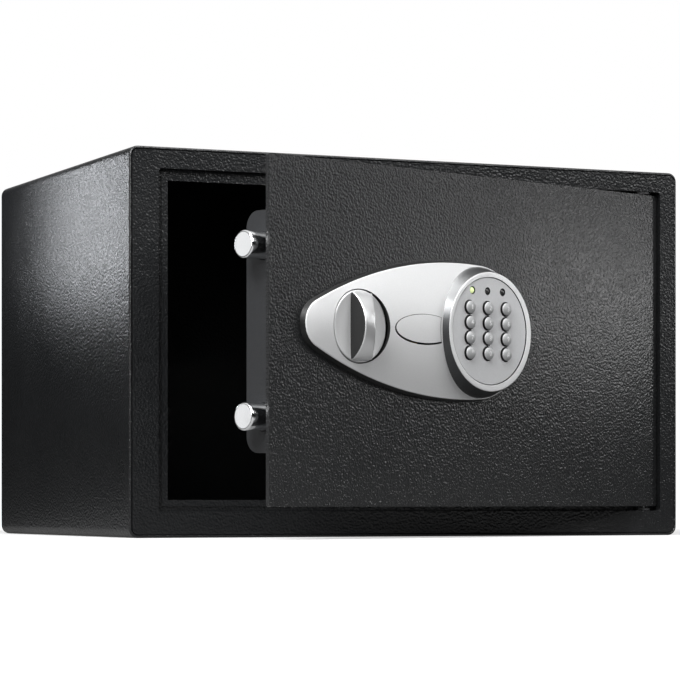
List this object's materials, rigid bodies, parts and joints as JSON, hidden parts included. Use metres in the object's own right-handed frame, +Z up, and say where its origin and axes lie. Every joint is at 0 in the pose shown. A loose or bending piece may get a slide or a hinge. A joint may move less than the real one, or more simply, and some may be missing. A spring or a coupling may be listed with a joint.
{
  "type": "security safe",
  "caption": "Compact sheet steel security safe with its hinged door ajar, round locking bolts, a turning knob, a round keypad pod and an override lock in a teardrop housing",
  "frame": {"origin": "middle of the cabinet's underside", "axes": "+Z up, the front faces -Y, +X to the right seen from the front, the door's hinge at +X"},
  "size_m": [0.432, 0.4328, 0.27],
  "materials": {
    "black_coat": "pebbled black powder coat",
    "door_coat": "pebbled black powder coat",
    "cover_coat": "smooth dark grey paint",
    "satin_silver": "satin silver paint",
    "fascia_silver": "fine matt silver",
    "key_silver": "satin silver",
    "polished_steel": "polished",
    "plain_steel": "zinc plated",
    "brass": "turned",
    "black_plastic": "moulded",
    "rubber": "matt",
    "felt": "short felt",
    "circuit_board": "green solder mask",
    "lamp_lit": "lit lamp lens",
    "lamp_dark": "dark lamp lens",
    "cell_label": "plain label",
    "red_plastic": "moulded"
  },
  "bodies": {
    "cabinet": {"cabinet_shell": "black_coat", "front_frame": "black_coat", "back_panel": "black_coat", "floor_mat": "felt", "hinge_bush_upper": "black_plastic", "hinge_bush_lower": "black_plastic"},
    "door": {"door_plate": "door_coat", "lock_cover": "cover_coat", "cover_screw_1": "plain_steel", "cover_screw_2": "plain_steel", "cover_screw_3": "plain_steel", "cover_screw_4": "plain_steel", "hinge_block_upper": "door_coat", "hinge_block_lower": "door_coat", "hinge_pin_upper": "plain_steel", "hinge_pin_lower": "plain_steel", "control_housing": "satin_silver", "fascia": "fascia_silver", "lamp_1": "lamp_lit", "lamp_2": "lamp_dark", "lamp_3": "lamp_dark", "key_mat": "rubber", "keypad_board": "circuit_board", "spindle_bush": "brass", "bolt_guide_upper": "plain_steel", "bolt_guide_lower": "plain_steel", "solenoid_body": "black_plastic", "override_barrel": "brass", "battery_tray": "black_plastic", "battery_1": "cell_label", "battery_2": "cell_label", "battery_3": "cell_label", "battery_4": "cell_label", "controller_board": "circuit_board", "keypad_cable": "black_plastic", "solenoid_lead": "black_plastic", "battery_lead": "black_plastic"},
    "knob": {"knob_dial": "satin_silver", "knob_spindle": "plain_steel", "drive_cam": "plain_steel"},
    "bolt_work": {"bolt_carriage": "plain_steel", "locking_bolt_upper": "polished_steel", "locking_bolt_lower": "polished_steel"},
    "key_cap_1": {"key_1": "key_silver"},
    "key_cap_2": {"key_2": "key_silver"},
    "key_cap_3": {"key_3": "key_silver"},
    "key_cap_4": {"key_4": "key_silver"},
    "key_cap_5": {"key_5": "key_silver"},
    "key_cap_6": {"key_6": "key_silver"},
    "key_cap_7": {"key_7": "key_silver"},
    "key_cap_8": {"key_8": "key_silver"},
    "key_cap_9": {"key_9": "key_silver"},
    "key_cap_10": {"key_10": "key_silver"},
    "key_cap_11": {"key_11": "key_silver"},
    "key_cap_12": {"key_12": "key_silver"},
    "override_lid": {"override_cover": "satin_silver"},
    "override_key_plug": {"override_plug": "brass"},
    "catch": {"solenoid_plunger": "polished_steel"},
    "battery_lid": {"battery_cover": "cover_coat"},
    "reset": {"reset_button": "red_plastic"}
  },
  "joints": [
    {"name": "door_swing", "type": "hinge", "parent": "cabinet", "child": "door", "pos_m": [0.18951, -0.144, 0.1371], "axis": [0, 0, 1], "range_deg": [-20.4, 89.6]},
    {"name": "knob_turn", "type": "hinge", "parent": "door", "child": "knob", "pos_m": [-0.09456, -0.25605, 0.1423], "axis": [-0.3486, 0.9373, 0], "range_deg": [0, 80]},
    {"name": "bolt_slide", "type": "slide", "parent": "door", "child": "bolt_work", "axis": [0.9373, 0.3486, 0], "range_m": [0, 0.018]},
    {"name": "key_press_1", "type": "slide", "parent": "door", "child": "key_cap_1", "axis": [-0.3486, 0.9373, 0], "range_m": [0, 0.0008], "stiffness_N_per_m": 200},
    {"name": "key_press_2", "type": "slide", "parent": "door", "child": "key_cap_2", "axis": [-0.3486, 0.9373, 0], "range_m": [0, 0.0008], "stiffness_N_per_m": 200},
    {"name": "key_press_3", "type": "slide", "parent": "door", "child": "key_cap_3", "axis": [-0.3486, 0.9373, 0], "range_m": [0, 0.0008], "stiffness_N_per_m": 200},
    {"name": "key_press_4", "type": "slide", "parent": "door", "child": "key_cap_4", "axis": [-0.3486, 0.9373, 0], "range_m": [0, 0.0008], "stiffness_N_per_m": 200},
    {"name": "key_press_5", "type": "slide", "parent": "door", "child": "key_cap_5", "axis": [-0.3486, 0.9373, 0], "range_m": [0, 0.0008], "stiffness_N_per_m": 200},
    {"name": "key_press_6", "type": "slide", "parent": "door", "child": "key_cap_6", "axis": [-0.3486, 0.9373, 0], "range_m": [0, 0.0008], "stiffness_N_per_m": 200},
    {"name": "key_press_7", "type": "slide", "parent": "door", "child": "key_cap_7", "axis": [-0.3486, 0.9373, 0], "range_m": [0, 0.0008], "stiffness_N_per_m": 200},
    {"name": "key_press_8", "type": "slide", "parent": "door", "child": "key_cap_8", "axis": [-0.3486, 0.9373, 0], "range_m": [0, 0.0008], "stiffness_N_per_m": 200},
    {"name": "key_press_9", "type": "slide", "parent": "door", "child": "key_cap_9", "axis": [-0.3486, 0.9373, 0], "range_m": [0, 0.0008], "stiffness_N_per_m": 200},
    {"name": "key_press_10", "type": "slide", "parent": "door", "child": "key_cap_10", "axis": [-0.3486, 0.9373, 0], "range_m": [0, 0.0008], "stiffness_N_per_m": 200},
    {"name": "key_press_11", "type": "slide", "parent": "door", "child": "key_cap_11", "axis": [-0.3486, 0.9373, 0], "range_m": [0, 0.0008], "stiffness_N_per_m": 200},
    {"name": "key_press_12", "type": "slide", "parent": "door", "child": "key_cap_12", "axis": [-0.3486, 0.9373, 0], "range_m": [0, 0.0008], "stiffness_N_per_m": 200},
    {"name": "override_lid_lift", "type": "slide", "parent": "door", "child": "override_lid", "axis": [0.3486, -0.9373, 0], "range_m": [0, 0.03]},
    {"name": "override_turn", "type": "hinge", "parent": "door", "child": "override_key_plug", "pos_m": [-0.04488, -0.23757, 0.1423], "axis": [-0.3486, 0.9373, 0], "range_deg": [0, 90]},
    {"name": "catch_slide", "type": "slide", "parent": "door", "child": "catch", "axis": [0, 0, -1], "range_m": [0, 0.006]},
    {"name": "battery_lid_lift", "type": "slide", "parent": "door", "child": "battery_lid", "axis": [-0.3486, 0.9373, 0], "range_m": [0, 0.03]},
    {"name": "reset_press", "type": "slide", "parent": "door", "child": "reset", "axis": [0.3486, -0.9373, 0], "range_m": [0, 0.0015], "stiffness_N_per_m": 200}
  ],
  "couplings": [
    {"joint": "knob_turn", "follows": "bolt_slide", "rad_per_m": 77.57}
  ]
}
